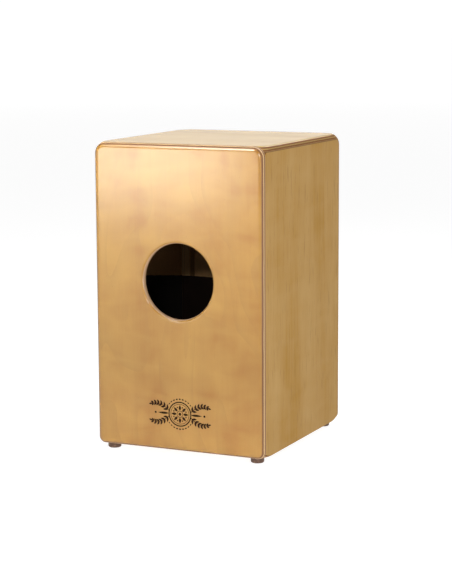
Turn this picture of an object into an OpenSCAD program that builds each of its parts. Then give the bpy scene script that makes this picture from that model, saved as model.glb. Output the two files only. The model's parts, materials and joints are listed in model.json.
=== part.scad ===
// Cajon: a seated box drum with a rear sound hole, a thin front playing plate
// and two pairs of snare strings that are tuned from below with a hex key.
//
// Frame, in millimetres: the origin is on the ground at the middle of the footprint.
// +Z is up, +Y points to the front (playing plate), -Y to the rear (sound hole).

/* [Box] */
// Outer width of the box, side to side
body_w = 290; // [260:1:330]
// Outer height of the box, without its feet
body_h = 482; // [460:1:520]
// Depth of the four box boards, between rear panel and playing plate
box_d = 300; // [280:1:320]
// Thickness of the four box boards
board_t = 9; // [8:0.5:10]
// Radius of the two top corners, at both ends of the box
top_corner_r = 18; // [14:1:22]
// Radius of the two bottom corners, at both ends of the box
bottom_corner_r = 11; // [9:0.5:13]
// Radius of the long edges of the seat, away from the ends
seat_edge_r = 5; // [3:0.5:6]
// Radius of the long edges at the bottom, away from the ends
base_edge_r = 3; // [2:0.5:4]
// Length over which the end corners blend into the long edges
blend_len = 28; // [20:1:40]

/* [Rear panel] */
// Thickness of the rear panel
rear_t = 9; // [8.5:0.5:12]
// Quarter-round on the outer edge of the rear panel
rear_edge_r = 8; // [4:0.5:8]
// Diameter of the sound hole
hole_d = 120; // [100:1:125]
// Height of the sound hole's centre above the underside of the box
hole_z = 269; // [240:1:300]
// Rounding of the sound hole's outer rim
hole_edge_r = 4; // [2:0.5:5]

/* [Playing plate] */
// Thickness of the playing plate
tapa_t = 3.5; // [3:0.5:5]
// Rounding of the playing plate's front edge
tapa_edge_r = 1.5; // [0.5:0.5:1.5]
// Screws down each side of the playing plate
side_screws = 6; // [4:1:8]

/* [Inner frame] */
// Width of the front rails that carry the playing plate
rail_w = 15; // [13:1:18]
// Depth of the front rails, front to back
rail_d = 20; // [18:1:22]
// Width and height of the glue battens in the long corners
batten = 18; // [16:1:20]

/* [Feet] */
// Diameter of a rubber foot
foot_d = 21; // [18:1:24]
// Height of a rubber foot
foot_h = 9; // [8:0.5:12]
// Distance of a foot's centre from the outer side of the box
foot_inset_x = 19.5; // [18:0.5:21]
// Distance of a foot's centre from the front or rear face
foot_inset_y = 20.5; // [20:0.5:21]

/* [Damping felt] */
// Thickness of the felt
felt_t = 2; // [1:0.5:3]
// Height of the felt screen's top edge above the underside of the box
felt_z = 232; // [200:1:260]
// Rise of the side felts' top edge towards the rear, in degrees
felt_rise = 7.9; // [0:0.1:12]

/* [Snare strings] */
// Distance of each tension bolt from the middle of the box
bolt_x = 45; // [40:1:55]
// Diameter of the tension bolt
bolt_d = 6; // [5:0.5:6]
// Diameter of a string
string_d = 0.8; // [0.5:0.1:0.9]
// Distance between a pair's two strings at the tension block
string_gap = 10.4; // [10:0.1:11]
// Distance between a pair's two strings at the top pins
string_spread = 40; // [30:1:50]
// Height of the tension block's underside above the front rail, at rest
block_lift = 12; // [8:1:16]

/* [Hidden] */

$fn = 64;
hull_fn = 32;        // segments of the round shapes inside a hull
slice_t = 0.01;      // thickness of a slice of the box envelope
blend_steps = 4;     // slices in each corner blend
past = 1;            // how far a cutting shape runs past the face that it cuts
hole_fit = 0.02;     // radial room of a fixed pin or screw in its hole
run_fit = 0.05;      // radial room of a moving shaft in its bore

// Levels and faces of the box
body_d = rear_t + box_d + tapa_t;
rear_y = -body_d / 2;
box_y0 = rear_y + rear_t;
box_y1 = box_y0 + box_d;
front_y = box_y1 + tapa_t;
base_z = foot_h;
top_z = base_z + body_h;
floor_z = base_z + board_t;
ceiling_z = top_z - board_t;
inner_x = body_w / 2 - board_t;

// Inner frame
rail_x = inner_x - rail_w;
rail_y = box_y1 - rail_d;

// Feet and their screws
foot_x = body_w / 2 - foot_inset_x;
foot_y = body_d / 2 - foot_inset_y;
foot_round = 2.5;
foot_recess_d = 11;
foot_recess_h = 5.6;
foot_washer_t = 1;
foot_washer_d = 10;
foot_screw_d = 4;
foot_head_d = 7.6;
foot_head_h = 2.4;
foot_drive_d = 2.4;
foot_screw_bite = 10;
foot_screw_top = floor_z + foot_screw_bite;

// Screws of the playing plate
tapa_screw_d = 3.5;
tapa_head_d = 7;
tapa_head_h = 2;
tapa_screw_len = 16;
tapa_drive_d = 1.8;
tapa_screw_x = inner_x - rail_w / 2;
tapa_screw_margin = 40;
end_screws = 3;      // screws along the top edge, and as many along the bottom edge
end_screw_x = 85;    // distance of the outermost of them from the middle

// Snare mechanism
bolt_y = rail_y + rail_d / 2;
bolt_head_d = 10;
bolt_head_h = 4;
bolt_tip_z = 64;
hex_key = 5;
hex_depth = 2.4;
washer_t = 0.9;
washer_d = 12;
washer_gap = 0.05;
bush_d = 9;
bush_flange_d = 16;
bush_flange_t = 1.5;
rail_bore_d = bolt_d + 1;
block_l = 30;
block_w = 13;
block_h = 12;
block_z = floor_z + rail_w + block_lift;
guide_d = 3;
guide_x = 11;
guide_depth = 10;
guide_up = 33;
string_hole_d = 2.4;
string_grip = 7;
string_z0 = block_z + block_h - string_grip;
clamp_d = 3;
clamp_z = block_z + block_h - string_grip / 2;
clamp_key = 1.5;
clamp_key_depth = 1.6;
clamp_clear = 0.6;
pin_d = 2.4;
pin_head_d = 4.4;
pin_head_h = 1.5;
pin_drop = 9;
pin_depth = 10;
loop_r = 3;
loop_shift = loop_r - pin_d / 2 - string_d / 2 - run_fit;
string_buzz_gap = 0.6;
string_y1 = box_y1 - string_d / 2 - string_buzz_gap;
pin_y = string_y1 - loop_shift - loop_r;
loop_z = ceiling_z - rail_w - pin_drop + pin_head_h + string_d;
string_z1 = loop_z - string_d / 2 - run_fit;

wood = "burlywood";
ply = "wheat";
pine = "peachpuff";
felt_colour = "dimgray";
steel = "silver";

// ---------------------------------------------------------------- helpers

// Corner radius at a distance from the end of the box, for a given end and edge radius
function blend_r(dist, r_end, r_edge) =
  r_edge + (r_end - r_edge) * pow(max(0, 1 - dist / blend_len), 2);

// Distances from an end of the box at which the envelope has a slice
function slice_dist(i) = blend_len * i / blend_steps;

// One thin slice of the box envelope, dist from the end that lies at y
module envelope_slice(y, dist) {
  rt = blend_r(dist, top_corner_r, seat_edge_r);
  rb = blend_r(dist, bottom_corner_r, base_edge_r);
  for (s = [-1, 1]) {
    translate([s * (body_w / 2 - rt), y, top_z - rt])
      rotate([90, 0, 0]) cylinder(r = rt, h = slice_t, center = true, $fn = hull_fn);
    translate([s * (body_w / 2 - rb), y, base_z + rb])
      rotate([90, 0, 0]) cylinder(r = rb, h = slice_t, center = true, $fn = hull_fn);
  }
}

// The outer shape of the four glued box boards
module box_envelope() {
  hull()
    for (i = [0 : blend_steps]) {
      envelope_slice(box_y0 - slice_t / 2 + slice_dist(i), slice_dist(i));
      envelope_slice(box_y1 + slice_t / 2 - slice_dist(i), slice_dist(i));
    }
}

// A block from its low corner to its high corner
module block(lo, hi) {
  translate(lo) cube(hi - lo);
}

// A board of the box, trimmed to the outer shape
module board(lo, hi) {
  intersection() {
    block(lo, hi);
    box_envelope();
  }
}

// The left side board; the right one is its mirror image
module side_board() {
  board([-body_w, box_y0, base_z], [-inner_x, box_y1, ceiling_z]);
}

// Half of a panel edge's cross-section: radius r, thickness t, quarter-round e at y = 0
module edge_profile(r, t, e) {
  intersection() {
    square([r, t]);
    union() {
      translate([0, e]) square([r, t - e]);
      square([r - e, t]);
      translate([r - e, e]) circle(r = e);
    }
  }
}

// A round corner of a panel, standing on y = 0 and growing towards +Y
module panel_corner(x, z, r, t, e) {
  translate([x, 0, z]) rotate([-90, 0, 0]) rotate_extrude() edge_profile(r, t, e);
}

// A straight panel edge of length len, starting at z = 0, its rounded side at x = r
module panel_edge(len, r, t, e) {
  linear_extrude(len) edge_profile(r, t, e);
}

// An end panel: rounded corners, and a quarter-round e along its outer edge at y = 0
module end_panel(t, e) {
  hw = body_w / 2;
  tx = hw - top_corner_r;
  bx = hw - bottom_corner_r;
  tz = top_z - top_corner_r;
  bz = base_z + bottom_corner_r;
  block([-tx, 0, bz], [tx, t, tz]);
  for (s = [0, 1])
    mirror([s, 0, 0]) {
      panel_corner(tx, tz, top_corner_r, t, e);
      panel_corner(bx, bz, bottom_corner_r, t, e);
      translate([tx, 0, bz]) panel_edge(tz - bz, top_corner_r, t, e);
    }
  translate([tx, 0, tz]) rotate([0, -90, 0]) panel_edge(2 * tx, top_corner_r, t, e);
  translate([-bx, 0, bz]) rotate([0, 90, 0]) panel_edge(2 * bx, bottom_corner_r, t, e);
}

// A round bar between two points
module bar(p, q, d) {
  v = q - p;
  len = norm(v);
  translate(p)
    rotate([0, acos(v[2] / len), atan2(v[1], v[0])])
      cylinder(d = d, h = len);
}

// A bore of diameter d along Y, from y0 to y1
module bore_y(x, z, y0, y1, d) {
  translate([x, y0, z]) rotate([-90, 0, 0]) cylinder(d = d, h = y1 - y0);
}

// A bore of diameter d along Z, from z0 to z1
module bore_z(x, y, z0, z1, d) {
  translate([x, y, z0]) cylinder(d = d, h = z1 - z0);
}

// ------------------------------------------------------- places of fasteners

// Height of screw i in a side row of the playing plate
function side_screw_z(i) =
  base_z + tapa_screw_margin + i * (body_h - 2 * tapa_screw_margin) / (side_screws - 1);

// Position across of screw i in an end row
function end_screw_at(i) = -end_screw_x + i * 2 * end_screw_x / (end_screws - 1);

side_screw_places = [
  for (s = [-1, 1], i = [0 : side_screws - 1]) [s * tapa_screw_x, side_screw_z(i)]
];
end_screw_places = [
  for (z = [floor_z + rail_w / 2, ceiling_z - rail_w / 2], i = [0 : end_screws - 1])
    [end_screw_at(i), z]
];
foot_places = [for (sx = [-1, 1], sy = [-1, 1]) [sx * foot_x, sy * foot_y]];

// One countersunk screw along Y, its flat head flush with the front; grow adds room all round
module tapa_screw(x, z, grow) {
  translate([x, front_y, z])
    rotate([90, 0, 0]) {
      cylinder(d1 = tapa_head_d + 2 * grow, d2 = tapa_screw_d + 2 * grow, h = tapa_head_h);
      cylinder(d = tapa_screw_d + 2 * grow, h = tapa_screw_len + grow);
    }
}

// Pilot holes of the screws listed in places
module tapa_screw_holes(places) {
  for (p = places) tapa_screw(p[0], p[1], hole_fit);
}

// Pilot holes of the foot screws
module foot_screw_holes() {
  for (p = foot_places)
    bore_z(p[0], p[1], base_z - past, foot_screw_top, foot_screw_d + 2 * hole_fit);
}

// ---------------------------------------------------------------- box

module top_board() {
  color(wood)
    board([-body_w, box_y0, ceiling_z], [body_w, box_y1, top_z]);
}

module bottom_board() {
  color(wood)
    difference() {
      block([-inner_x, box_y0, base_z], [inner_x, box_y1, floor_z]);
      foot_screw_holes();
      for (s = [-1, 1]) {
        bore_z(s * bolt_x, bolt_y, base_z - past, floor_z + past, bush_d);
        bore_z(s * bolt_x, bolt_y, base_z - past, base_z + bush_flange_t, bush_flange_d);
      }
    }
}

module left_side_board() {
  color(wood) side_board();
}

module right_side_board() {
  color(wood) mirror([1, 0, 0]) side_board();
}

module rear_panel() {
  color(ply)
    difference() {
      translate([0, rear_y, 0]) end_panel(rear_t, rear_edge_r);
      bore_y(0, base_z + hole_z, rear_y - past, box_y0 + past, hole_d);
      translate([0, rear_y, base_z + hole_z])
        rotate([-90, 0, 0])
          rotate_extrude()
            difference() {
              translate([0, -past]) square([hole_d / 2 + hole_edge_r, hole_edge_r + past]);
              translate([hole_d / 2 + hole_edge_r, hole_edge_r]) circle(r = hole_edge_r);
            }
    }
}

module tapa() {
  color(ply)
    difference() {
      translate([0, front_y, 0]) mirror([0, 1, 0]) end_panel(tapa_t, tapa_edge_r);
      tapa_screw_holes(side_screw_places);
      tapa_screw_holes(end_screw_places);
    }
}

// ---------------------------------------------------------------- inner frame

// A glue batten in the long corner on side sx, resting on the level z0
module corner_batten(sx, z0) {
  lo_x = sx < 0 ? -inner_x : inner_x - batten;
  color(pine)
    difference() {
      block([lo_x, box_y0, z0], [lo_x + batten, rail_y, z0 + batten]);
      foot_screw_holes();
    }
}

module top_left_batten() { corner_batten(-1, ceiling_z - batten); }
module top_right_batten() { corner_batten(1, ceiling_z - batten); }
module bottom_left_batten() { corner_batten(-1, floor_z); }
module bottom_right_batten() { corner_batten(1, floor_z); }

// An upright rail behind the playing plate, on side sx
module side_rail(sx) {
  lo_x = sx < 0 ? -inner_x : rail_x;
  color(pine)
    difference() {
      block([lo_x, rail_y, floor_z], [lo_x + rail_w, box_y1, ceiling_z]);
      tapa_screw_holes(side_screw_places);
      foot_screw_holes();
    }
}

module left_front_rail() { side_rail(-1); }
module right_front_rail() { side_rail(1); }

module top_front_rail() {
  color(pine)
    difference() {
      block([-rail_x, rail_y, ceiling_z - rail_w], [rail_x, box_y1, ceiling_z]);
      tapa_screw_holes(end_screw_places);
      for (x = string_pin_x)
        bore_z(x, pin_y, ceiling_z - rail_w - past, ceiling_z - rail_w + pin_depth,
               pin_d + 2 * hole_fit);
    }
}

module bottom_front_rail() {
  color(pine)
    difference() {
      block([-rail_x, rail_y, floor_z], [rail_x, box_y1, floor_z + rail_w]);
      tapa_screw_holes(end_screw_places);
      for (s = [-1, 1])
        bore_z(s * bolt_x, bolt_y, floor_z - past, floor_z + rail_w + past, rail_bore_d);
      for (x = guide_pin_x)
        bore_z(x, bolt_y, floor_z + rail_w - guide_depth, floor_z + rail_w + past,
               guide_d + 2 * hole_fit);
    }
}

module tapa_screws() {
  color(steel)
    for (p = concat(side_screw_places, end_screw_places))
      difference() {
        tapa_screw(p[0], p[1], 0);
        bore_y(p[0], p[1], front_y - tapa_head_h / 2, front_y + past, tapa_drive_d);
      }
}

// ---------------------------------------------------------------- feet

// One rubber foot: a round puck with a rounded lower edge and a recess for its screw
module foot(sx, sy) {
  r = foot_d / 2;
  color("darkolivegreen")
    translate([sx * foot_x, sy * foot_y, 0])
      rotate_extrude()
        difference() {
          union() {
            translate([0, foot_round]) square([r, foot_h - foot_round]);
            square([r - foot_round, foot_h]);
            translate([r - foot_round, foot_round]) circle(r = foot_round);
          }
          translate([0, -past]) square([foot_recess_d / 2, foot_recess_h + past]);
          translate([0, -past]) square([foot_screw_d / 2 + hole_fit, foot_h + 2 * past]);
        }
}

module rear_left_foot() { foot(-1, -1); }
module rear_right_foot() { foot(1, -1); }
module front_left_foot() { foot(-1, 1); }
module front_right_foot() { foot(1, 1); }

module foot_washers() {
  color(steel)
    for (p = foot_places)
      translate([p[0], p[1], foot_recess_h - foot_washer_t])
        difference() {
          cylinder(d = foot_washer_d, h = foot_washer_t);
          translate([0, 0, -past])
            cylinder(d = foot_screw_d + 2 * hole_fit, h = foot_washer_t + 2 * past);
        }
}

module foot_screws() {
  head_top = foot_recess_h - foot_washer_t;
  color(steel)
    for (p = foot_places)
      difference() {
        union() {
          bore_z(p[0], p[1], head_top - foot_head_h, head_top, foot_head_d);
          bore_z(p[0], p[1], head_top - foot_head_h / 2, foot_screw_top, foot_screw_d);
        }
        bore_z(p[0], p[1], 0, head_top - foot_head_h / 2, foot_drive_d);
      }
}

// ---------------------------------------------------------------- felt

module felt_screen() {
  edge_x = inner_x - felt_t;
  color(felt_colour)
    block([-edge_x, rail_y - felt_t, floor_z + batten], [edge_x, rail_y, base_z + felt_z]);
}

// A felt on the inner face of a side board, whose top edge rises towards the rear
module side_felt(sx) {
  y1 = rail_y - felt_t;
  rise = (y1 - box_y0) * tan(felt_rise);
  z0 = floor_z + batten;
  z1 = base_z + felt_z;
  color(felt_colour)
    translate([sx < 0 ? -inner_x : inner_x - felt_t, 0, 0])
      rotate([90, 0, 90])
        linear_extrude(felt_t)
          polygon([[box_y0, z0], [y1, z0], [y1, z1], [box_y0, z1 + rise]]);
}

module left_felt() { side_felt(-1); }
module right_felt() { side_felt(1); }

// ---------------------------------------------------------------- snare mechanism

string_pin_x = [for (s = [-1, 1], k = [-1, 1]) s * bolt_x + k * string_spread / 2];
guide_pin_x = [for (s = [-1, 1], k = [-1, 1]) s * bolt_x + k * guide_x];

module string_pins() {
  head_z = ceiling_z - rail_w - pin_drop;
  color(steel)
    for (x = string_pin_x) {
      bore_z(x, pin_y, head_z, head_z + pin_head_h, pin_head_d);
      bore_z(x, pin_y, head_z + pin_head_h / 2, ceiling_z - rail_w + pin_depth, pin_d);
    }
}

// The end rings of the strings, each hooked over a pin above the pin's head
module string_loops() {
  color("goldenrod")
    for (x = string_pin_x)
      translate([x, pin_y + loop_shift, loop_z])
        rotate_extrude() translate([loop_r, 0]) circle(d = string_d);
}

// A pair of strings from a tension block up to the rings on two pins
module string_pair(sx) {
  color(steel)
    for (k = [-1, 1])
      bar([sx * bolt_x + k * string_gap / 2, bolt_y, string_z0],
          [sx * bolt_x + k * string_spread / 2, string_y1, string_z1], string_d);
}

module left_string() { string_pair(-1); }
module right_string() { string_pair(1); }

// The sliding block that holds a pair's lower ends
module tension_block(sx) {
  x0 = sx * bolt_x;
  top = block_z + block_h;
  color("goldenrod")
    difference() {
      block([x0 - block_l / 2, bolt_y - block_w / 2, block_z],
            [x0 + block_l / 2, bolt_y + block_w / 2, top]);
      bore_z(x0, bolt_y, block_z - past, top + past, bolt_d + 2 * run_fit);
      for (k = [-1, 1]) {
        bore_z(x0 + k * guide_x, bolt_y, block_z - past, top + past, guide_d + 2 * run_fit);
        bore_z(x0 + k * string_gap / 2, bolt_y, string_z0 - past, top + past, string_hole_d);
        bore_y(x0 + k * string_gap / 2, clamp_z, bolt_y - block_w / 2 - past, bolt_y,
               clamp_d + 2 * hole_fit);
      }
    }
}

module left_tension_block() { tension_block(-1); }
module right_tension_block() { tension_block(1); }

// The two grub screws that clamp a pair's lower ends in its block
module clamp_screws(sx) {
  y0 = bolt_y - block_w / 2;
  color(steel)
    for (k = [-1, 1]) {
      x = sx * bolt_x + k * string_gap / 2;
      difference() {
        bore_y(x, clamp_z, y0, bolt_y - clamp_clear, clamp_d);
        translate([x, y0 - past, clamp_z])
          rotate([-90, 0, 0]) cylinder(d = clamp_key / cos(30), h = past + clamp_key_depth, $fn = 6);
      }
    }
}

module left_clamp_screws() { clamp_screws(-1); }
module right_clamp_screws() { clamp_screws(1); }

module guide_pins() {
  z0 = floor_z + rail_w - guide_depth;
  color(steel)
    for (x = guide_pin_x) bore_z(x, bolt_y, z0, z0 + guide_depth + guide_up, guide_d);
}

// The flanged sleeve in the bottom board that the bolt turns in
module bushing(sx) {
  color("gold")
    difference() {
      union() {
        bore_z(sx * bolt_x, bolt_y, base_z, base_z + bush_flange_t, bush_flange_d);
        bore_z(sx * bolt_x, bolt_y, base_z, floor_z, bush_d);
      }
      bore_z(sx * bolt_x, bolt_y, base_z - past, floor_z + past, bolt_d + 2 * run_fit);
    }
}

module left_bushing() { bushing(-1); }
module right_bushing() { bushing(1); }

module bolt_washers() {
  z1 = base_z - washer_gap;
  color(steel)
    for (s = [-1, 1])
      difference() {
        bore_z(s * bolt_x, bolt_y, z1 - washer_t, z1, washer_d);
        bore_z(s * bolt_x, bolt_y, z1 - washer_t - past, z1 + past, bolt_d + 4 * run_fit);
      }
}

// A low-head hex-socket bolt, put in from below
module tension_bolt(sx) {
  head_top = base_z - washer_t - 2 * washer_gap;
  color(steel)
    difference() {
      union() {
        bore_z(sx * bolt_x, bolt_y, head_top - bolt_head_h, head_top, bolt_head_d);
        bore_z(sx * bolt_x, bolt_y, head_top - bolt_head_h / 2, bolt_tip_z, bolt_d);
      }
      translate([sx * bolt_x, bolt_y, head_top - bolt_head_h - past])
        cylinder(d = hex_key / cos(30), h = past + hex_depth, $fn = 6);
    }
}

module left_tension_bolt() { tension_bolt(-1); }
module right_tension_bolt() { tension_bolt(1); }

top_board();
bottom_board();
left_side_board();
right_side_board();
rear_panel();
tapa();
top_left_batten();
top_right_batten();
bottom_left_batten();
bottom_right_batten();
top_front_rail();
bottom_front_rail();
left_front_rail();
right_front_rail();
tapa_screws();
rear_left_foot();
rear_right_foot();
front_left_foot();
front_right_foot();
foot_washers();
foot_screws();
felt_screen();
left_felt();
right_felt();
string_pins();
string_loops();
left_string();
right_string();
guide_pins();
bolt_washers();
left_tension_block();
right_tension_block();
left_clamp_screws();
right_clamp_screws();
left_tension_bolt();
right_tension_bolt();
left_bushing();
right_bushing();
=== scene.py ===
import json
import math
import random

import bmesh
import bpy
from mathutils import Matrix, Vector, noise


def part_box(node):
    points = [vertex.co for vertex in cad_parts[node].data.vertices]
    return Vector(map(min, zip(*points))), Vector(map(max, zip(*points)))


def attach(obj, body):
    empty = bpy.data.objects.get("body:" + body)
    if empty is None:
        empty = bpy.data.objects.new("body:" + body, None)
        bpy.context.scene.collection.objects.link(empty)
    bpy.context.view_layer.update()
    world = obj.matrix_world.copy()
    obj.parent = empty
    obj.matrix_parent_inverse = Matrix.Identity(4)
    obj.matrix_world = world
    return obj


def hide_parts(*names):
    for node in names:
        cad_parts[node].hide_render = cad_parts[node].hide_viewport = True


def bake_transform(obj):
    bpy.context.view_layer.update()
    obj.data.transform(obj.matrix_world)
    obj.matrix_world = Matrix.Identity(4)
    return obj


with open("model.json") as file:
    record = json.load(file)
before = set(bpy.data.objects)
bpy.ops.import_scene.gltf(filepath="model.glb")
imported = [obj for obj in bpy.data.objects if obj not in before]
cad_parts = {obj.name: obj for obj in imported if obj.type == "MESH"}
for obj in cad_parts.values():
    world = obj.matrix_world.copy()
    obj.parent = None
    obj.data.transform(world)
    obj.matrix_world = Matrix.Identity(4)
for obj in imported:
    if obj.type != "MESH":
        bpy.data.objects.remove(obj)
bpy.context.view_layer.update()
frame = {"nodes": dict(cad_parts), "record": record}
NODES = frame["nodes"]
MM = 0.001
X, Y, Z = 0, 1, 2


# ---------------------------------------------------------------- reading the frame

def box(node):
    """A CAD node's low corner, high corner and middle."""
    low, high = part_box(node)
    return low, high, (low + high) / 2


def islands(node):
    """The separate solids of a CAD node, each as its list of corner points."""
    mesh = bmesh.new()
    mesh.from_mesh(NODES[node].data)
    bmesh.ops.remove_doubles(mesh, verts=mesh.verts, dist=0.001 * MM)
    left = set(mesh.verts)
    found = []
    while left:
        start = left.pop()
        group, front = [start], [start]
        while front:
            for edge in front.pop().link_edges:
                for vert in edge.verts:
                    if vert in left:
                        left.remove(vert)
                        group.append(vert)
                        front.append(vert)
        found.append([vert.co.copy() for vert in group])
    mesh.free()
    return sorted(found, key=lambda points: tuple(round(c, 5) for c in middle(points)))


def middle(points):
    """The middle of the box around some points."""
    return Vector([(min(p[i] for p in points) + max(p[i] for p in points)) / 2 for i in (X, Y, Z)])


# ---------------------------------------------------------------- camera, light, studio

CAMERA_AT = Vector((1.2436, -2.6476, 0.7052))
CAMERA_YAW = math.radians(24.985)      # to the left of +Y
CAMERA_PITCH = math.radians(9.044)     # downwards
CAMERA_ROLL = math.radians(-0.304)
CAMERA_LENS = 112.215                  # for a 36 mm long side

SKY = 0.10                             # radiance of the dim space above and below the paper
PAPER_GLOW = 0.93                      # the paper's own light, which keeps it white
PAPER_GREY = 0.22                      # how much other light, and so shadow, it shows
STUDIO_RADIUS = 12.0
COVE_RADIUS = 1.2
COVE_STEPS = 8
STUDIO_HEIGHT = 2.6

# Softboxes: degrees from -Y towards +X, degrees up, distance from the point that they aim at, the
# height of that point, size, spread in degrees, watts, warmth
SOFTBOXES = {
    "front": (17, 17.5, 2.6, 0.25, (0.30, 0.15), 180, 15.6, 0.0),
    "low": (-27, 1.5, 2.2, 0.27, (0.50, 0.28), 180, 6.3, 0.15),
    "key": (-22.5, 30, 1.5, 0.47, (0.60, 0.35), 26, 0.58, 0.0),
    "high": (-25, 52, 0.95, 0.28, (0.4, 0.3), 180, 3.2, 0.0),
    "top": (150, 72, 1.7, 0.30, (1.2, 1.0), 180, 24, 0.0),
    "edge": (55, 4, 1.3, 0.08, (0.12, 0.5), 180, 5.5, 0.0),
    "floor": (-5, 8, 2.0, -0.04, (0.6, 0.05), 10, 0.11, 0.0),
    "back": (165, 42, 2.2, 0.25, (0.9, 0.9), 180, 16, 0.0),
}


def link(obj):
    bpy.context.scene.collection.objects.link(obj)
    return obj


def make_camera():
    data = bpy.data.cameras.new("camera")
    data.sensor_width = 36.0
    data.lens = CAMERA_LENS
    data.clip_end = 100.0
    camera = link(bpy.data.objects.new("camera", data))
    turn = Matrix.Rotation(CAMERA_YAW, 4, "Z") @ Matrix.Rotation(math.pi / 2 - CAMERA_PITCH, 4, "X")
    camera.matrix_world = Matrix.Translation(CAMERA_AT) @ turn @ Matrix.Rotation(CAMERA_ROLL, 4, "Z")
    bpy.context.scene.camera = camera


def make_light():
    world = bpy.data.worlds.new("studio")
    world.use_nodes = True
    sky = world.node_tree.nodes["Background"]
    sky.inputs["Color"].default_value = (1, 1, 1, 1)
    sky.inputs["Strength"].default_value = SKY
    bpy.context.scene.world = world
    bpy.context.scene.view_settings.view_transform = "Standard"
    for name, (azimuth, rise, distance, height, size, spread, watts, warmth) in SOFTBOXES.items():
        data = bpy.data.lights.new(name, "AREA")
        data.shape = "RECTANGLE"
        data.size, data.size_y = size
        data.spread = math.radians(spread)
        data.energy = watts
        data.color = (1.0, 1.0 - 0.3 * warmth, 1.0 - warmth)
        light = link(bpy.data.objects.new(name, data))
        turn, up = math.radians(azimuth), math.radians(rise)
        away = Vector((math.sin(turn) * math.cos(up), -math.cos(turn) * math.cos(up), math.sin(up)))
        light.location = Vector((0, 0, height)) + away * distance
        light.rotation_euler = away.to_track_quat("Z", "Y").to_euler()


def make_studio():
    """A round floor of white paper that curves up into a low wall."""
    flat = STUDIO_RADIUS - COVE_RADIUS
    profile = [(0, 0), (flat, 0)]
    for i in range(1, COVE_STEPS + 1):
        turn = math.pi / 2 * i / COVE_STEPS
        profile.append((flat + COVE_RADIUS * math.sin(turn), COVE_RADIUS * (1 - math.cos(turn))))
    profile.append((STUDIO_RADIUS, STUDIO_HEIGHT))
    mesh, _ = turned(profile, 96)
    bmesh.ops.reverse_faces(mesh, faces=mesh.faces)
    data = bpy.data.meshes.new("studio_paper")
    mesh.to_mesh(data)
    mesh.free()
    data.shade_smooth()
    paper = bpy.data.materials.new("studio_paper")
    paper.use_nodes = True
    shader = paper.node_tree.nodes["Principled BSDF"]
    shader.inputs["Base Color"].default_value = (PAPER_GREY, PAPER_GREY, PAPER_GREY, 1)
    shader.inputs["Roughness"].default_value = 0.9
    shader.inputs["Specular IOR Level"].default_value = 0.0
    shader.inputs["Emission Color"].default_value = (1, 1, 1, 1)
    shader.inputs["Emission Strength"].default_value = PAPER_GLOW
    nodes, links = paper.node_tree.nodes, paper.node_tree.links
    side = nodes.new("ShaderNodeNewGeometry")          # the underside lets the view through
    clear = nodes.new("ShaderNodeBsdfTransparent")
    either = nodes.new("ShaderNodeMixShader")
    links.new(side.outputs["Backfacing"], either.inputs[0])
    links.new(shader.outputs[0], either.inputs[1])
    links.new(clear.outputs[0], either.inputs[2])
    links.new(either.outputs[0], nodes["Material Output"].inputs["Surface"])
    data.materials.append(paper)
    link(bpy.data.objects.new("studio_paper", data))


# ---------------------------------------------------------------- mesh kit

def turned(profile, segments, knurl=0.0, closed=False):
    """A new mesh of (radius, height) points turned around Z, and its rings. A radius of 0 makes a
    point. knurl draws in every second corner of the widest rings. closed joins the last ring to
    the first."""
    mesh = bmesh.new()
    widest = max(r for r, _ in profile)
    rings = []
    for r, z in profile:
        if r == 0:
            rings.append([mesh.verts.new((0, 0, z))])
            continue
        cut = knurl if r == widest else 0.0
        rings.append([mesh.verts.new(((r - cut * (i % 2)) * math.cos(math.tau * i / segments),
                                      (r - cut * (i % 2)) * math.sin(math.tau * i / segments), z))
                      for i in range(segments)])
    pairs = list(zip(rings, rings[1:]))
    if closed:
        pairs.append((rings[-1], rings[0]))
    for a, b in pairs:
        for i in range(segments):
            j = (i + 1) % segments
            corners = [a[i % len(a)], a[j % len(a)], b[j % len(b)], b[i % len(b)]]
            mesh.faces.new(list(dict.fromkeys(corners)))
    return mesh, rings


def sink_socket(mesh, rim, outline, depth, floor_scale=1.0):
    """Closes the flat end inside the loop rim, with a socket of the given outline in it. A positive
    depth goes towards +Z."""
    z = rim[0].co.z
    mouth = [mesh.verts.new((x, y, z)) for x, y in outline]
    edges = []
    for loop in (rim, mouth):
        for a, b in zip(loop, loop[1:] + loop[:1]):
            edges.append(mesh.edges.get((a, b)) or mesh.edges.new((a, b)))
    bmesh.ops.triangle_fill(mesh, use_beauty=True, edges=edges)
    floor = [mesh.verts.new((x * floor_scale, y * floor_scale, z + depth)) for x, y in outline]
    for i in range(len(outline)):
        j = (i + 1) % len(outline)
        mesh.faces.new((mouth[i], mouth[j], floor[j], floor[i]))
    mesh.faces.new(floor)


def cross_outline(arm, half_width):
    """A Phillips cross."""
    w, a = half_width, arm
    quarter = [(w, w), (w, a), (-w, a)]
    points = []
    for turn in range(4):
        c, s = round(math.cos(turn * math.pi / 2)), round(math.sin(turn * math.pi / 2))
        points += [(c * x - s * y, s * x + c * y) for x, y in quarter]
    return points


def hexagon(across_flats):
    r = across_flats / 2 / math.cos(math.pi / 6)
    return [(r * math.cos(math.tau * i / 6), r * math.sin(math.tau * i / 6)) for i in range(6)]


def stamp(target, item, matrix):
    """Adds a copy of the mesh item to target, moved by matrix."""
    copy = bpy.data.meshes.new("copy")
    item.to_mesh(copy)
    copy.transform(matrix)
    target.from_mesh(copy)
    bpy.data.meshes.remove(copy)


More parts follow.
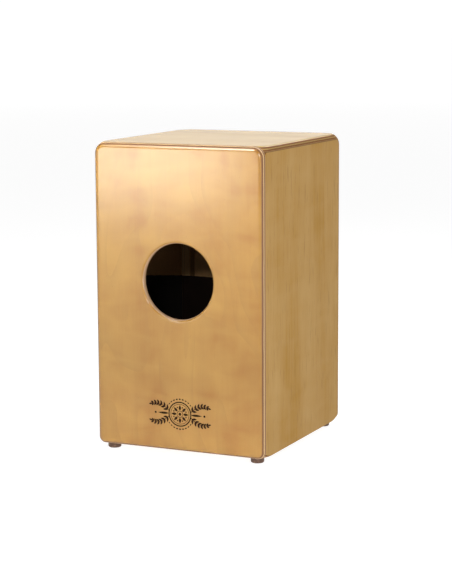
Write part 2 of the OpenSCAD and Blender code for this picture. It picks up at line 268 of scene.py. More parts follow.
def tube(mesh, path, radius, sides):
    """Adds a round wire along the points of path."""
    rings = []
    side = Vector((1, 0, 0))
    for i, point in enumerate(path):
        ahead = (path[min(i + 1, len(path) - 1)] - path[max(i - 1, 0)]).normalized()
        side = (side - ahead * side.dot(ahead)).normalized()
        other = ahead.cross(side)
        rings.append([mesh.verts.new(point + radius * (side * math.cos(math.tau * k / sides)
                                                       + other * math.sin(math.tau * k / sides)))
                      for k in range(sides)])
    for a, b in zip(rings, rings[1:]):
        for k in range(sides):
            j = (k + 1) % sides
            mesh.faces.new((a[k], a[j], b[j], b[k]))
    mesh.faces.new(rings[0])
    mesh.faces.new(rings[-1])


def piece(name, mesh, material, body="box", replaces=(), smooth_below=35.0):
    """Turns a mesh in the row frame into a piece that rides on a body."""
    bmesh.ops.recalc_face_normals(mesh, faces=mesh.faces)
    for face in mesh.faces:
        face.smooth = True
    for edge in mesh.edges:
        if len(edge.link_faces) == 2 and edge.calc_face_angle(0.0) > math.radians(smooth_below):
            edge.smooth = False
    data = bpy.data.meshes.new(name)
    mesh.to_mesh(data)
    mesh.free()
    data.materials.append(material)
    obj = link(bpy.data.objects.new(name, data))
    if body:
        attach(obj, body)
    if replaces:
        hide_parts(*replaces)
    return obj


def ease_edges(node, width, segments=2):
    """Breaks the sharp edges of a kept CAD node, as sandpaper or a file does. width is in
    millimetres."""
    obj = NODES[node]
    weld = obj.modifiers.new("weld", "WELD")
    weld.merge_threshold = 0.01 * MM
    flat = obj.modifiers.new("flat", "DECIMATE")
    flat.decimate_type = "DISSOLVE"
    flat.angle_limit = math.radians(0.3)
    bevel = obj.modifiers.new("eased", "BEVEL")
    bevel.width = width * MM
    bevel.segments = segments
    bevel.limit_method = "ANGLE"
    bevel.angle_limit = math.radians(32)


def give(node, material):
    """Puts a material on a kept CAD node."""
    obj = NODES[node]
    if not obj.material_slots:
        obj.data.materials.append(material)
    for slot in obj.material_slots:
        slot.link = "OBJECT"
        slot.material = material


# ---------------------------------------------------------------- material kit

class Shader:
    """A material being built: short calls that add nodes and join them."""

    def __init__(self, name):
        self.material = bpy.data.materials.new(name)
        self.material.use_nodes = True
        self.tree = self.material.node_tree
        self.bsdf = self.tree.nodes["Principled BSDF"]
        self.place = self.add("ShaderNodeTexCoord").outputs["Object"]

    def add(self, kind, **settings):
        node = self.tree.nodes.new(kind)
        for key, value in settings.items():
            setattr(node, key, value)
        return node

    def feed(self, socket, value):
        if isinstance(value, bpy.types.NodeSocket):
            self.tree.links.new(value, socket)
        elif socket.type == "RGBA" and len(value) == 3:
            socket.default_value = (*value, 1)
        else:
            socket.default_value = value

    def set(self, **values):
        for key, value in values.items():
            self.feed(self.bsdf.inputs[key.replace("_", " ")], value)
        return self.material

    def millimetres(self):
        """The place in the row frame, in millimetres."""
        return self.vector("MULTIPLY", self.place, (1 / MM, 1 / MM, 1 / MM))

    def split(self, vector):
        node = self.add("ShaderNodeSeparateXYZ")
        self.feed(node.inputs[0], vector)
        return list(node.outputs)

    def join(self, x, y, z):
        node = self.add("ShaderNodeCombineXYZ")
        for socket, value in zip(node.inputs, (x, y, z)):
            self.feed(socket, value)
        return node.outputs[0]

    def vector(self, operation, a, b):
        node = self.add("ShaderNodeVectorMath", operation=operation)
        self.feed(node.inputs[0], a)
        self.feed(node.inputs[1], b)
        return node.outputs[0]

    def noise(self, place, scale, detail=3.0, roughness=0.5, distortion=0.0):
        """Noise with scale cycles per unit along each axis."""
        node = self.add("ShaderNodeTexNoise")
        self.feed(node.inputs["Vector"], self.vector("MULTIPLY", place, scale))
        node.inputs["Scale"].default_value = 1.0
        node.inputs["Detail"].default_value = detail
        node.inputs["Roughness"].default_value = roughness
        node.inputs["Distortion"].default_value = distortion
        return node.outputs["Fac"]

    def cells(self, place, scale):
        """The distance to the nearest of many scattered points, and a random number for each."""
        node = self.add("ShaderNodeTexVoronoi")
        self.feed(node.inputs["Vector"], self.vector("MULTIPLY", place, scale))
        node.inputs["Scale"].default_value = 1.0
        chance = self.split(node.outputs["Color"])[0]
        return node.outputs["Distance"], chance

    def math(self, operation, a, b=0.0):
        node = self.add("ShaderNodeMath", operation=operation)
        self.feed(node.inputs[0], a)
        self.feed(node.inputs[1], b)
        return node.outputs[0]

    def total(self, *weighted):
        """The sum of (value, weight) pairs."""
        result = self.math("MULTIPLY", *weighted[0])
        for pair in weighted[1:]:
            result = self.math("ADD", result, self.math("MULTIPLY", *pair))
        return result

    def remap(self, value, low, high, to_low=0.0, to_high=1.0):
        node = self.add("ShaderNodeMapRange")
        for socket, v in zip(node.inputs, (value, low, high, to_low, to_high)):
            self.feed(socket, v)
        return node.outputs[0]

    def ramp(self, value, stops, interpolation="LINEAR"):
        node = self.add("ShaderNodeValToRGB")
        node.color_ramp.interpolation = interpolation
        points = node.color_ramp.elements
        while len(points) < len(stops):
            points.new(1.0)
        for point, (at, colour) in zip(points, stops):
            point.position = at
            point.color = (*colour, 1)
        self.feed(node.inputs[0], value)
        return node.outputs[0]

    def mix(self, share, a, b, blend="MIX"):
        node = self.add("ShaderNodeMix", data_type="RGBA", blend_type=blend)
        for index, value in ((0, share), (6, a), (7, b)):
            self.feed(node.inputs[index], value)
        return node.outputs[2]

    def mix_value(self, share, a, b):
        node = self.add("ShaderNodeMix", data_type="FLOAT")
        for index, value in ((0, share), (2, a), (3, b)):
            self.feed(node.inputs[index], value)
        return node.outputs[0]

    def bump(self, height, strength, distance, under=None):
        node = self.add("ShaderNodeBump")
        self.feed(node.inputs["Height"], height)
        node.inputs["Strength"].default_value = strength
        node.inputs["Distance"].default_value = distance
        if under is not None:
            self.feed(node.inputs["Normal"], under)
        return node.outputs["Normal"]


def shade(colour, share):
    return tuple(c * share for c in colour)


# ---------------------------------------------------------------- wood

LIGHT_PLY = (0.60, 0.40, 0.20)
DARK_PLY = (0.17, 0.070, 0.022)
GLUE_LINE = (0.075, 0.034, 0.012)
INNER_VENEER = (0.38, 0.215, 0.085)
# The sound hole's cut wall is painted towards this pale tone: a painted highlight
RIM_PAINTED_HIGHLIGHT = (0.64, 0.41, 0.24)
BIRCH = (0.362, 0.179, 0.028)


def plywood(name, across, along, depth, face_at, inward, thickness, seed, tone=BIRCH,
            light_ply=LIGHT_PLY, cloud=1.0, line=0.4, dash=0.12, rough=0.36, sheen=0.3, coat=0.65,
            cut_coat=0.0, first_ply=0.8, plies=7, seams=(), hole=None):
    """Lacquered birch plywood. across, along and depth are axes; the outer face lies at face_at, in
    millimetres on the depth axis, and inward is the sign of the way in. cloud, line and dash weigh
    the veneer's soft figure, its long streaks and its short dark pores. rough and sheen belong to
    the wood, coat to the lacquer on the faces and cut_coat to that on the cut edges. The edges show
    that many plies, light_ply by turns with dark ones, and first_ply is the thickness of the two
    outer ones. seams lists (axis, place) of glued joints. hole is the middle and the reach of a
    hole whose cut wall is painted pale, a painted highlight."""
    s = Shader(name)
    axes = s.split(s.millimetres())
    skin = s.vector("ADD", s.join(axes[across], axes[along], axes[depth]),
                    (seed * 371.0, seed * 533.0, seed * 117.0))

    def grain(scale_across, scale_along, **settings):
        return s.noise(skin, (scale_across, scale_along, scale_across), **settings)

    # The scales are cycles per millimetre, across and along the grain
    patch = grain(0.026, 0.015, detail=2, roughness=0.4, distortion=0.5)
    curl = grain(0.012, 0.030, detail=2, roughness=0.4, distortion=0.6)
    board = grain(0.014, 0.0022, detail=2, roughness=0.5, distortion=0.3)
    streak = grain(0.20, 0.0055, detail=4, roughness=0.6, distortion=0.25)
    short = grain(0.36, 0.022, detail=3, roughness=0.55)
    fibre = grain(2.2, 0.060, detail=3, roughness=0.65)
    fleck = grain(1.1, 0.200, detail=1, roughness=0.3)

    # A soft figure around the tone: each noise lies around one half, so their sum around mid
    figure = s.total((patch, 0.38 * cloud), (curl, 0.40 * cloud), (board, 0.42), (streak, 0.24 * line))
    mid = (0.78 * cloud + 0.42 + 0.24 * line) / 2
    dark = [c * k for c, k in zip(tone, (0.86, 0.76, 0.30))]
    light = [c * k for c, k in zip(tone, (1.12, 1.20, 1.45))]
    veneer = s.ramp(s.remap(figure, mid - 0.15, mid + 0.15), [(0.0, dark), (0.5, tone), (1.0, light)])

    # Growth rings, where the peeled veneer cuts them, are the contours of a slow noise
    slow = grain(0.011, 0.0034, detail=1, roughness=0.4, distortion=0.4)
    contour = s.math("FRACT", s.math("MULTIPLY", slow, 9.0))
    ring = s.math("MULTIPLY", s.math("POWER", contour, 2.5), s.remap(patch, 0.40, 0.60, 0.35, 1.0))
    veneer = s.mix(s.math("MULTIPLY", ring, 0.22 * cloud), veneer, shade(tone, 0.62))

    # Fibres, short streaks, flecks and a few small knots
    veneer = s.mix(s.remap(fibre, 0.35, 0.75, 0.0, 0.10), veneer, shade(tone, 0.62))
    veneer = s.mix(s.remap(short, 0.60, 0.70, 0.0, 0.60 * dash), veneer, shade(tone, 0.55))
    veneer = s.mix(s.remap(fleck, 0.72, 0.82, 0.0, 0.40), veneer, shade(tone, 0.45))
    near, chance = s.cells(skin, (0.016, 0.010, 0.0))
    knot = s.math("MULTIPLY", s.remap(near, 0.012, 0.045, 1.0, 0.0), s.remap(chance, 0.78, 0.80))
    veneer = s.mix(s.math("MULTIPLY", knot, 0.75), veneer, shade(tone, 0.22))

    # Bands of veneer and glue, as deep as the edge is cut
    deep = s.math("MULTIPLY", s.math("SUBTRACT", axes[depth], face_at), inward)
    wander = s.noise(skin, (0.03, 0.03, 0.03), detail=1)
    wavy = s.math("ADD", deep, s.remap(wander, 0.3, 0.7, -0.15, 0.15))
    ply = (thickness - 2 * first_ply) / (plies - 2)
    stops = [(0.0, tone)]
    for i in range(plies - 1):
        edge = first_ply + i * ply
        stops.append(((edge - 0.10) / thickness, GLUE_LINE))
        stops.append(((edge + 0.10) / thickness, light_ply if i % 2 else DARK_PLY))
    stops[-1] = (stops[-1][0], INNER_VENEER)
    bands = s.ramp(s.math("DIVIDE", wavy, thickness), stops, "CONSTANT")
    cut_fibre = s.noise(skin, (0.45, 0.45, 2.6), detail=4, roughness=0.7)
    bands = s.mix(s.remap(cut_fibre, 0.35, 0.80, 0.0, 0.35), bands, shade(DARK_PLY, 0.8))

    cut = s.remap(deep, first_ply * 0.85, first_ply)
    colour = s.mix(cut, veneer, bands)
    if hole:
        # A painted highlight: the cut plies of the hole's wall are mixed towards a pale tone
        (u, v), reach = hole
        aside = s.math("POWER", s.math("SUBTRACT", axes[across], u), 2.0)
        above = s.math("POWER", s.math("SUBTRACT", axes[along], v), 2.0)
        rim = s.remap(s.math("SQRT", s.math("ADD", aside, above)), reach, reach + 2.0, 1.0, 0.0)
        colour = s.mix(s.math("MULTIPLY", s.math("MULTIPLY", rim, cut), 0.75), colour, RIM_PAINTED_HIGHLIGHT)
    for axis, place in seams:
        off = s.math("ABSOLUTE", s.math("SUBTRACT", axes[axis], place))
        colour = s.mix(s.remap(off, 0.25, 0.9, 0.75, 0.0), colour, GLUE_LINE)

    dull = s.total((streak, 0.14), (patch, 0.10), (fibre, 0.06), (1.0, rough - 0.15))
    relief = s.bump(s.total((fibre, -0.6), (short, -0.4)), 0.10, 0.12 * MM)
    lacquer = s.noise(skin, (0.10, 0.10, 0.10), detail=2)
    return s.set(Base_Color=colour, Roughness=s.mix_value(cut, dull, s.math("ADD", dull, 0.30)),
                 Normal=s.bump(lacquer, 0.05, 0.5 * MM, under=relief), Specular_IOR_Level=sheen,
                 Coat_Weight=s.remap(cut, 0, 1, coat, cut_coat), Coat_Roughness=0.18)


def raw_wood(name, along, colour, seed):
    """Sawn, unfinished softwood with growth rings, its grain along one axis."""
    s = Shader(name)
    axes = s.split(s.millimetres())
    a, b = [axes[i] for i in (X, Y, Z) if i != along]
    skin = s.vector("ADD", s.join(a, b, axes[along]), (seed * 91.0, seed * 57.0, 0.0))
    warp = s.noise(skin, (0.05, 0.05, 0.001), detail=2)
    rings = s.math("SINE", s.total((a, 1.5), (warp, 26.0)))
    fibre = s.noise(skin, (1.6, 1.6, 0.06), detail=4, roughness=0.7)
    tone = s.ramp(s.total((s.remap(rings, -1, 1), 0.55), (fibre, 0.6)),
                  [(0.15, shade(colour, 0.62)), (0.6, colour), (1.0, shade(colour, 1.25))])
    return s.set(Base_Color=tone, Roughness=s.remap(fibre, 0.3, 0.7, 0.72, 0.9),
                 Normal=s.bump(s.total((fibre, 1.0), (rings, 0.12)), 0.35, 0.2 * MM))


# ---------------------------------------------------------------- other materials

def rubber(name):
    """Dark brown moulded rubber, dusty in patches."""
    s = Shader(name)
    place = s.millimetres()
    grit = s.noise(place, (1.4, 1.4, 1.4), detail=5, roughness=0.7)
    dust = s.noise(place, (0.16, 0.16, 0.16), detail=4, roughness=0.65)
    colour = s.ramp(s.total((grit, 0.35), (dust, 0.65)),
                    [(0.30, (0.050, 0.022, 0.011)), (0.60, (0.105, 0.050, 0.026)),
                     (0.85, (0.20, 0.125, 0.075))])
    return s.set(Base_Color=colour, Roughness=s.remap(dust, 0.3, 0.7, 0.42, 0.70),
                 Normal=s.bump(grit, 0.30, 0.10 * MM), Specular_IOR_Level=0.45)


def wool_felt(name):
    """Pressed black wool felt: matted fibres, lint and a soft sheen."""
    s = Shader(name)
    colour = (0.0100, 0.0045, 0.0024)
    place = s.millimetres()
    tuft = s.noise(place, (0.9, 0.9, 0.9), detail=6, roughness=0.75, distortion=1.8)
    worn = s.noise(place, (0.04, 0.04, 0.04), detail=3)
    lint = s.noise(place, (2.6, 2.6, 2.6), detail=2, roughness=0.4, distortion=3.0)
    tone = s.ramp(s.total((tuft, 0.7), (worn, 0.3)),
                  [(0.3, shade(colour, 0.45)), (0.55, colour), (0.8, shade(colour, 2.2))])
    tone = s.mix(s.remap(lint, 0.70, 0.76, 0.0, 0.25), tone, (0.06, 0.05, 0.04))
    return s.set(Base_Color=tone, Roughness=0.97, Specular_IOR_Level=0.1, Sheen_Weight=0.02,
                 Sheen_Roughness=0.6, Normal=s.bump(tuft, 0.8, 0.6 * MM))


def metal(name, colour, rough, wear=0.5, scratch=(0.6, 0.6, 0.6)):
    """Turned or plated metal with fine tool marks, handling marks and dulled patches."""
    s = Shader(name)
    place = s.millimetres()
    marks = s.noise(place, [6.0 * k for k in scratch], detail=4, roughness=0.7)
    dull = s.noise(place, (0.35, 0.35, 0.35), detail=4, roughness=0.6)
    tone = s.mix(s.remap(dull, 0.45, 0.75, 0.0, wear), colour, shade(colour, 0.45))
    return s.set(Base_Color=tone, Metallic=1.0, Normal=s.bump(marks, 0.12, 0.05 * MM),
                 Roughness=s.total((marks, 0.16), (dull, 0.30), (1.0, rough - 0.23)))


def printed_ink(name):
    """Pad-printed ink, thin enough in places for the grain to break it."""
    s = Shader(name)
    thin = s.noise(s.millimetres(), (2.4, 2.4, 0.5), detail=3, roughness=0.7)
    tone = s.ramp(thin, [(0.35, (0.014, 0.006, 0.002)), (0.62, (0.026, 0.012, 0.004)),
                         (0.80, (0.090, 0.050, 0.020))])
    return s.set(Base_Color=tone, Roughness=s.remap(thin, 0.3, 0.7, 0.50, 0.65),
                 Specular_IOR_Level=0.05, Normal=s.bump(thin, 0.2, 0.03 * MM))


# ---------------------------------------------------------------- the boards

def dress_boards():
    """Gives each board its plywood, with the glued joints where the boards meet."""
    under_top = box("top_board")[0][Z] / MM
    wall_x = box("bottom_board")[1][X] / MM
    bore = next(m for m in frame["record"]["mounts"] if m["name"] == "sound_hole")
    # How far from the hole's middle its cut wall gets the painted highlight
    painted_highlight_reach = bore["dims"]["r_mm"] + 3.0
    hole = ((bore["pos_m"][X] / MM, bore["pos_m"][Z] / MM), painted_highlight_reach)

    def board(node, across, along, depth, side, seed, **settings):
        low, high, _ = box(node)
        outer = high if side > 0 else low
        thickness = (high - low)[depth] / MM
        give(node, plywood(node + "_ply", across, along, depth, outer[depth] / MM, -side, thickness,
                           seed, **settings))
        ease_edges(node, 0.4)

    board("rear_panel", X, Z, Y, side=-1, seed=1, tone=(0.342, 0.166, 0.018), sheen=0.38, coat=0.85,
          cut_coat=0.08, first_ply=1.6, plies=5, hole=hole)
    board("tapa", X, Z, Y, side=1, seed=2, first_ply=0.6, plies=5)
    board("top_board", Y, X, Z, side=1, seed=3, tone=(0.40, 0.250, 0.060),
          light_ply=(0.34, 0.21, 0.07), cloud=0.4, line=1.0, dash=0.6, rough=0.60, sheen=0.15,
          coat=0.8, first_ply=1.4, plies=5, seams=[(Z, under_top)])
    board("bottom_board", Y, X, Z, side=-1, seed=4, cloud=0.5, line=1.0, rough=0.5, coat=0.1,
          seams=[(X, wall_x), (X, -wall_x)])
    for node, side, seed in (("right_side_board", 1, 5), ("left_side_board", -1, 6)):
        board(node, Y, Z, X, side, seed, tone=(0.364, 0.210, 0.061), cloud=0.35, line=1.0,
              dash=1.0, rough=0.62, sheen=0.08, coat=0.0, seams=[(Z, under_top)])


def dress_frame():
    """Gives the battens and rails their softwood, with the grain along each."""
    pine = (0.30, 0.17, 0.065)
    rails = {"top_left_batten": Y, "top_right_batten": Y, "bottom_left_batten": Y,
             "bottom_right_batten": Y, "top_front_rail": X, "bottom_front_rail": X,
             "left_front_rail": Z, "right_front_rail": Z}
    for seed, (node, along) in enumerate(rails.items()):
        give(node, raw_wood(node + "_wood", along, pine, seed))
        ease_edges(node, 0.6, segments=1)


# ---------------------------------------------------------------- feet

def make_feet():
    """Rubber feet with a chamfered top, a moulding seam, a rounded tread and a ring groove."""
    for node in ("rear_left_foot", "rear_right_foot", "front_left_foot", "front_right_foot"):
        low, high, mid = box(node)
        r = (high.x - low.x) / 2 / MM
        h = (high.z - low.z) / MM
        bore, recess, recess_h, rounding, seam, steps = 2.1, 5.5, 5.6, 2.4, 0.12, 8
        profile = [(bore, h), (r - 0.4, h), (r, h - 0.4), (r, h * 0.56), (r + seam, h * 0.54),
                   (r, h * 0.52)]
        for i in range(steps + 1):
            turn = math.pi / 2 * i / steps
            profile.append((r - rounding * (1 - math.cos(turn)), rounding * (1 - math.sin(turn))))
        groove = (r - rounding + recess) / 2
        profile += [(groove + 0.5, 0), (groove + 0.3, 0.5), (groove - 0.3, 0.5), (groove - 0.5, 0),
                    (recess + 0.3, 0), (recess, 0.3), (recess, recess_h), (bore, recess_h)]
        mesh, _ = turned([(a * MM, z * MM) for a, z in profile], 96, closed=True)
        bmesh.ops.translate(mesh, verts=mesh.verts, vec=(mid.x, mid.y, 0))
        piece(node + "_rubber", mesh, rubber(node + "_rubber"),
              replaces=[node], smooth_below=30)


# ---------------------------------------------------------------- screws and bolts

def wood_screw(head_r, head_h, shank_r, length, flat):
    """A wood screw with a Phillips head, its head's face at z = 0 and its tip at -length. flat makes
    a countersunk head, otherwise it is a pan head. The sizes are in millimetres."""
    if flat:
        head = [(head_r, 0.0), (head_r, -0.15), (shank_r, -head_h)]
    else:
        head = [(head_r * 0.52, 0.0), (head_r * 0.80, -head_h * 0.14), (head_r * 0.96, -head_h * 0.40),
                (head_r, -head_h * 0.70), (head_r, -head_h), (shank_r, -head_h)]
    profile = list(head)
    pitch, neck, taper = 1.6, 0.6, 2.4
    root = shank_r * 0.72
    for i in range(int((length - head_h - neck - taper) / pitch)):
        z = -head_h - neck - i * pitch
        profile += [(root, z), (shank_r, z - pitch * 0.5), (root, z - pitch * 0.7)]
    profile += [(root, -length + taper), (0, -length)]
    mesh, rings = turned([(r * MM, z * MM) for r, z in profile], 40)
    arm = min(head_r * 0.50, shank_r * 1.15)
    cross = [(x * MM, y * MM) for x, y in cross_outline(arm, arm * 0.30)]
    sink_socket(mesh, rings[0], cross, -min(head_h, 1.5) * MM, 0.45)
    return mesh


def make_screws(steel):
    """The countersunk screws of the playing plate and the pan-head screws of the feet."""
    draw = random.Random(11)

    def driven(tip_way):
        """A screw's turn: tip_way points it, and chance spins it about its own axis."""
        return tip_way @ Matrix.Rotation(draw.uniform(0, math.pi), 4, "Z")

    low, high, _ = box("tapa_screws")
    sunk, tip_gap = 0.12 * MM, 0.03 * MM
    screw = wood_screw(head_r=3.5, head_h=2.0, shank_r=1.75,
                       length=(high.y - low.y - sunk - tip_gap) / MM, flat=True)
    plate = bmesh.new()
    for points in islands("tapa_screws"):
        at = middle(points)
        turn = driven(Matrix.Rotation(-math.pi / 2, 4, "X"))
        stamp(plate, screw, Matrix.Translation((at.x, high.y - sunk, at.z)) @ turn)
    screw.free()
    piece("tapa_phillips_screws", plate, steel, replaces=["tapa_screws"])

    low, high, _ = box("foot_screws")
    screw = wood_screw(head_r=3.8, head_h=2.4, shank_r=2.0, length=(high.z - low.z) / MM, flat=False)
    feet = bmesh.new()
    for points in islands("foot_screws"):
        at = middle(points)
        turn = driven(Matrix.Rotation(math.pi, 4, "X"))
        stamp(feet, screw, Matrix.Translation((at.x, at.y, low.z)) @ turn)
    screw.free()
    piece("foot_phillips_screws", feet, steel, replaces=["foot_screws"])


def make_bolts(steel):
    """The hex-socket tension bolts: a knurled head, a plain neck and a helical thread."""
    head_r, head_h, r = 5.0, 4.0, 3.0
    root, pitch, thread_from = 2.45, 1.0, 28.0
    rows_per_turn, sides = 6, 32
    for side in ("left", "right"):
        node = side + "_tension_bolt"
        low, high, mid = box(node)
        z0, z1 = low.z / MM, high.z / MM
        profile = [(head_r - 0.5, z0), (head_r - 0.15, z0 + 0.15), (head_r, z0 + 0.5),
                   (head_r, z0 + head_h - 0.3), (head_r - 0.3, z0 + head_h), (r, z0 + head_h),
                   (r, thread_from)]
        mesh, rings = turned([(a * MM, z * MM) for a, z in profile], 64, knurl=0.22 * MM)
        socket = [(x * MM, y * MM) for x, y in hexagon(5.0)]
        sink_socket(mesh, rings[0], socket, 2.4 * MM, 0.98)
        mesh.faces.new(rings[-1])
        add_thread(mesh, thread_from - 0.05, z1, r - 0.02, root, pitch, rows_per_turn, sides)
        bmesh.ops.translate(mesh, verts=mesh.verts, vec=(mid.x, mid.y, 0))
        piece(node + "_threaded", mesh, steel, body=side + "_bolt",
              replaces=[node], smooth_below=32)


def add_thread(mesh, z0, z1, crest, root, pitch, rows_per_turn, sides):
    """Adds a right-hand helical thread around Z, pointed at its upper end."""
    rows = int((z1 - z0) / pitch * rows_per_turn)
    rings = []
    for row in range(rows + 1):
        z = z0 + (z1 - z0) * row / rows
        ring = []
        for k in range(sides):
            phase = (z / pitch - k / sides) % 1.0
            ridge = 1 - abs(2 * phase - 1)
            r = root + (crest - root) * min(1.0, 1.25 * ridge)
            r = min(r, root - 0.35 + (z1 - z) * 0.9)
            ring.append(mesh.verts.new((r * MM * math.cos(math.tau * k / sides),
                                        r * MM * math.sin(math.tau * k / sides), z * MM)))
        rings.append(ring)
    for a, b in zip(rings, rings[1:]):
        for k in range(sides):
            j = (k + 1) % sides
            mesh.faces.new((a[k], a[j], b[j], b[k]))
    mesh.faces.new(rings[0])
    mesh.faces.new(rings[-1])


def make_strings():
    """Plain steel snare strings, each with its tail twisted around it below the ring."""
    steel = metal("string_wire", (0.34, 0.32, 0.30), 0.42, scratch=(2.0, 2.0, 0.05))
    twist_length, tail_r, pitch = 16 * MM, 0.24 * MM, 1.1 * MM
    near, steps, per_turn = 1 * MM, 24, 10
    for side in ("left", "right"):
        mesh = bmesh.new()
        node = side + "_string"
        for points in islands(node):
            bottom, top = min(p.z for p in points), max(p.z for p in points)
            start = middle([p for p in points if p.z < bottom + near])
            end = middle([p for p in points if p.z > top - near])
            start.z, end.z = bottom, top
            radius = max(p.x for p in points if p.z < bottom + near) - start.x
            tube(mesh, [start.lerp(end, i / steps) for i in range(steps + 1)], radius, 12)
            along = (start - end).normalized()
            turns = twist_length / pitch
            path = []
            for i in range(int(turns * per_turn) + 1):
                turn = math.tau * i / per_turn
                out = Vector((math.cos(turn), math.sin(turn), 0)) * (radius + tail_r)
                path.append(end + along * (0.4 * MM + twist_length * i / (turns * per_turn)) + out)
            tube(mesh, path, tail_r, 8)
        wire = piece(side + "_snare_strings", mesh, steel, body=None,
                     replaces=[node], smooth_below=50)
        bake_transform(wire)


def dress_metal(zinc):
    """Gives the kept metal nodes their plating or brass."""
    brass = metal("turned_brass", (0.66, 0.47, 0.19), 0.30)
    for node in ("foot_washers", "string_pins", "guide_pins", "bolt_washers",
                 "left_clamp_screws", "right_clamp_screws"):
        give(node, zinc)
        ease_edges(node, 0.15)
    for node in ("left_tension_block", "right_tension_block", "left_bushing", "right_bushing"):
        give(node, brass)
        ease_edges(node, 0.3)
    give("string_loops", brass)


# ---------------------------------------------------------------- felt

FELT_CELL = 6 * MM
FELT_NAP = 0.12 * MM                   # how far the surface sinks on average
FELT_EDGE = 0.5 * MM                   # how far the cut upper edge wanders


def make_felt(node, thin, wide, loose):
    """A sheet of felt over its CAD solid. thin and wide are the axes across its thickness and its
    width. loose is how far it stands off flat between its glued edges, in metres."""
    low, high, _ = box(node)
    corners = islands(node)[0]
    ends = []
    for edge in (low[wide], high[wide]):
        ends.append(max(p.z for p in corners if abs(p[wide] - edge) < 1 * MM))
    width = high[wide] - low[wide]
    columns = round(width / FELT_CELL)
    rows = round((max(ends) - low.z) / FELT_CELL)
    mesh = bmesh.new()
    sheets = []
    for face, level in enumerate((low[thin], high[thin])):
        inward = 1 if face == 0 else -1
        grid = []
        for i in range(columns + 1):
            u = i / columns
            top = ends[0] + (ends[1] - ends[0]) * u
            column = []
            for k in range(rows + 1):
                v = k / rows
                place = Vector((0, 0, 0))
                place[wide] = low[wide] + width * u
                place.z = low.z + (top - low.z) * v
                if 0 < i < columns and k == rows:
                    place.z += FELT_EDGE * noise.noise(Vector((u * 23, 7 + thin, 1)))
                free = math.sin(math.pi * u) * math.sin(math.pi * min(1, 0.15 + v * 0.9))
                bulge = loose * free * noise.noise(Vector((u * 3.1, v * 2.3, 5 + wide)))
                nap = FELT_NAP * (1 + noise.noise(Vector((u * 61, v * 47, face * 9))))
                place[thin] = level + inward * nap + bulge
                column.append(mesh.verts.new(place))
            grid.append(column)
        sheets.append(grid)
        for i in range(columns):
            for k in range(rows):
                mesh.faces.new((grid[i][k], grid[i + 1][k], grid[i + 1][k + 1], grid[i][k + 1]))
    front, back = sheets
    rim = ([(i, 0) for i in range(columns)] + [(columns, k) for k in range(rows)]
           + [(i, rows) for i in range(columns, 0, -1)] + [(0, k) for k in range(rows, 0, -1)])
    for (i, k), (m, n) in zip(rim, rim[1:] + rim[:1]):
        mesh.faces.new((front[i][k], front[m][n], back[m][n], back[i][k]))
    sheet = piece(node + "_sheet", mesh, wool_felt(node + "_wool"), replaces=[node],
                  smooth_below=60)


def make_felts():
    make_felt("felt_screen", Y, X, 0.9 * MM)
    make_felt("left_felt", X, Y, 0.0)
    make_felt("right_felt", X, Y, 0.0)


# ---------------------------------------------------------------- printed ornament

ORNAMENT_MIDDLE = (2.0, 60.0)          # across, and above the underside of the box
INK_PROUD = 0.04


def lens(at, length, width, turn):
    """A leaf shape from at, pointing along turn."""
    points = []
    for side in (1, -1):
        for i in range(10):
            t = i / 10 if side > 0 else 1 - i / 10
            points.append((t * length, side * width / 2 * math.sin(math.pi * t ** 0.8)))
    c, s = math.cos(turn), math.sin(turn)
    return [(at[0] + c * x - s * y, at[1] + s * x + c * y) for x, y in points]


def disc(at, r, n=20):
    return [(at[0] + r * math.cos(math.tau * i / n), at[1] + r * math.sin(math.tau * i / n))
            for i in range(n)]


def stem(points, width):
    """A thin strip along points, narrowing to its end."""
    left, right = [], []
    for i, (x, y) in enumerate(points):
        a, b = points[max(i - 1, 0)], points[min(i + 1, len(points) - 1)]
        dx, dy = b[0] - a[0], b[1] - a[1]
        length = math.hypot(dx, dy)
        half = width / 2 * (1 - 0.7 * i / (len(points) - 1))
        left.append((x - dy / length * half, y + dx / length * half))
        right.append((x + dy / length * half, y - dx / length * half))
    return left + right[::-1]


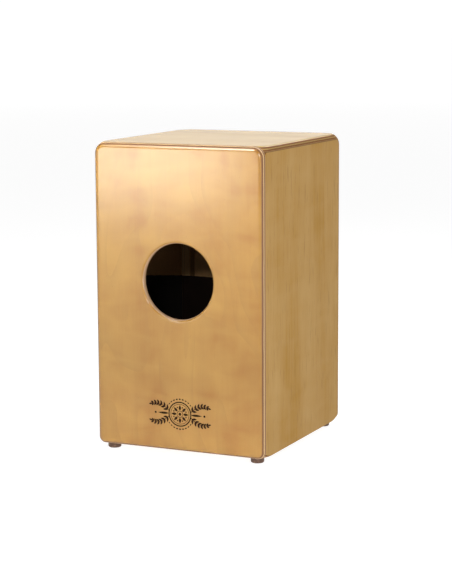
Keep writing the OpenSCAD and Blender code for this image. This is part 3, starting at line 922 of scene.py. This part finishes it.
def make_ornament():
    """A generic print on the rear panel: a rosette between two leafy sprays."""
    face = box("rear_panel")[0].y
    ground = box("bottom_board")[0].z
    mesh = bmesh.new()

    def place(point, proud):
        return (ORNAMENT_MIDDLE[0] * MM + point[0] * MM, face - proud * MM,
                ground + (ORNAMENT_MIDDLE[1] + point[1]) * MM)

    def fill(outline):
        front = [mesh.verts.new(place(p, INK_PROUD)) for p in outline]
        back = [mesh.verts.new(place(p, -INK_PROUD)) for p in outline]
        mesh.faces.new(front)
        mesh.faces.new(back)
        for i in range(len(outline)):
            j = (i + 1) % len(outline)
            mesh.faces.new((front[i], front[j], back[j], back[i]))

    def ring(r, width):
        around = 72
        loops = []
        for radius, proud in ((r, INK_PROUD), (r + width, INK_PROUD), (r + width, -INK_PROUD),
                              (r, -INK_PROUD)):
            loops.append([mesh.verts.new(place(p, proud)) for p in disc((0, 0), radius, around)])
        for a, b in zip(loops, loops[1:] + loops[:1]):
            for i in range(around):
                j = (i + 1) % around
                mesh.faces.new((a[i], a[j], b[j], b[i]))

    ring(18.0, 2.0)
    ring(15.4, 0.8)
    ring(4.6, 0.9)
    fill(disc((0, 0), 2.4))
    petals = 8
    for i in range(petals):
        turn = math.tau * i / petals
        fill(lens((6.0 * math.cos(turn), 6.0 * math.sin(turn)), 8.8, 4.2, turn))
        half = turn + math.pi / petals
        fill(disc((11.4 * math.cos(half), 11.4 * math.sin(half)), 1.2, 12))
    arc_r, dash_gap = 24.0, 0.22
    for i in range(-4, 5):
        for rise in (1, -1):
            turn = rise * math.pi / 2 + dash_gap * i
            start = (arc_r * math.cos(turn - 0.08), arc_r * math.sin(turn - 0.08))
            fill(lens(start, 4.2, 2.6 - 0.25 * abs(i), turn + math.pi / 2))
    steps = 12
    for side in (1, -1):
        for rise in (1, -1):
            path = []
            for i in range(steps + 1):
                t = i / steps
                path.append((side * (18.6 + 30.0 * t),
                             rise * (4.0 + 14.0 * math.sin(math.pi * 0.62 * t) * (1 - 0.25 * t))))
            fill(stem(path, 1.3))
            for k in range(1, steps, 2):
                (x0, y0), (x1, y1) = path[k - 1], path[k + 1]
                along = math.atan2(y1 - y0, x1 - x0)
                size = 8.8 - 0.30 * k
                for lean in (0.75, -0.75):
                    fill(lens(path[k], size, 3.4, along + lean))
            (x0, y0), (x1, y1) = path[-2:]
            fill(lens(path[-1], 6.0, 2.8, math.atan2(y1 - y0, x1 - x0)))
        fill(lens((side * 19.6, 0), 19.0, 3.6, 0.0 if side > 0 else math.pi))
        fill(disc((side * 42.5, 0), 1.8, 14))
    piece("rear_ornament", mesh, printed_ink("ornament_ink"))


# ---------------------------------------------------------------- the scene

make_camera()
make_light()
make_studio()
dress_boards()
dress_frame()
make_feet()
zinc_plate = metal("zinc_plate", (0.62, 0.62, 0.63), 0.36)
make_screws(zinc_plate)
make_bolts(zinc_plate)
make_strings()
dress_metal(zinc_plate)
make_felts()
make_ornament()
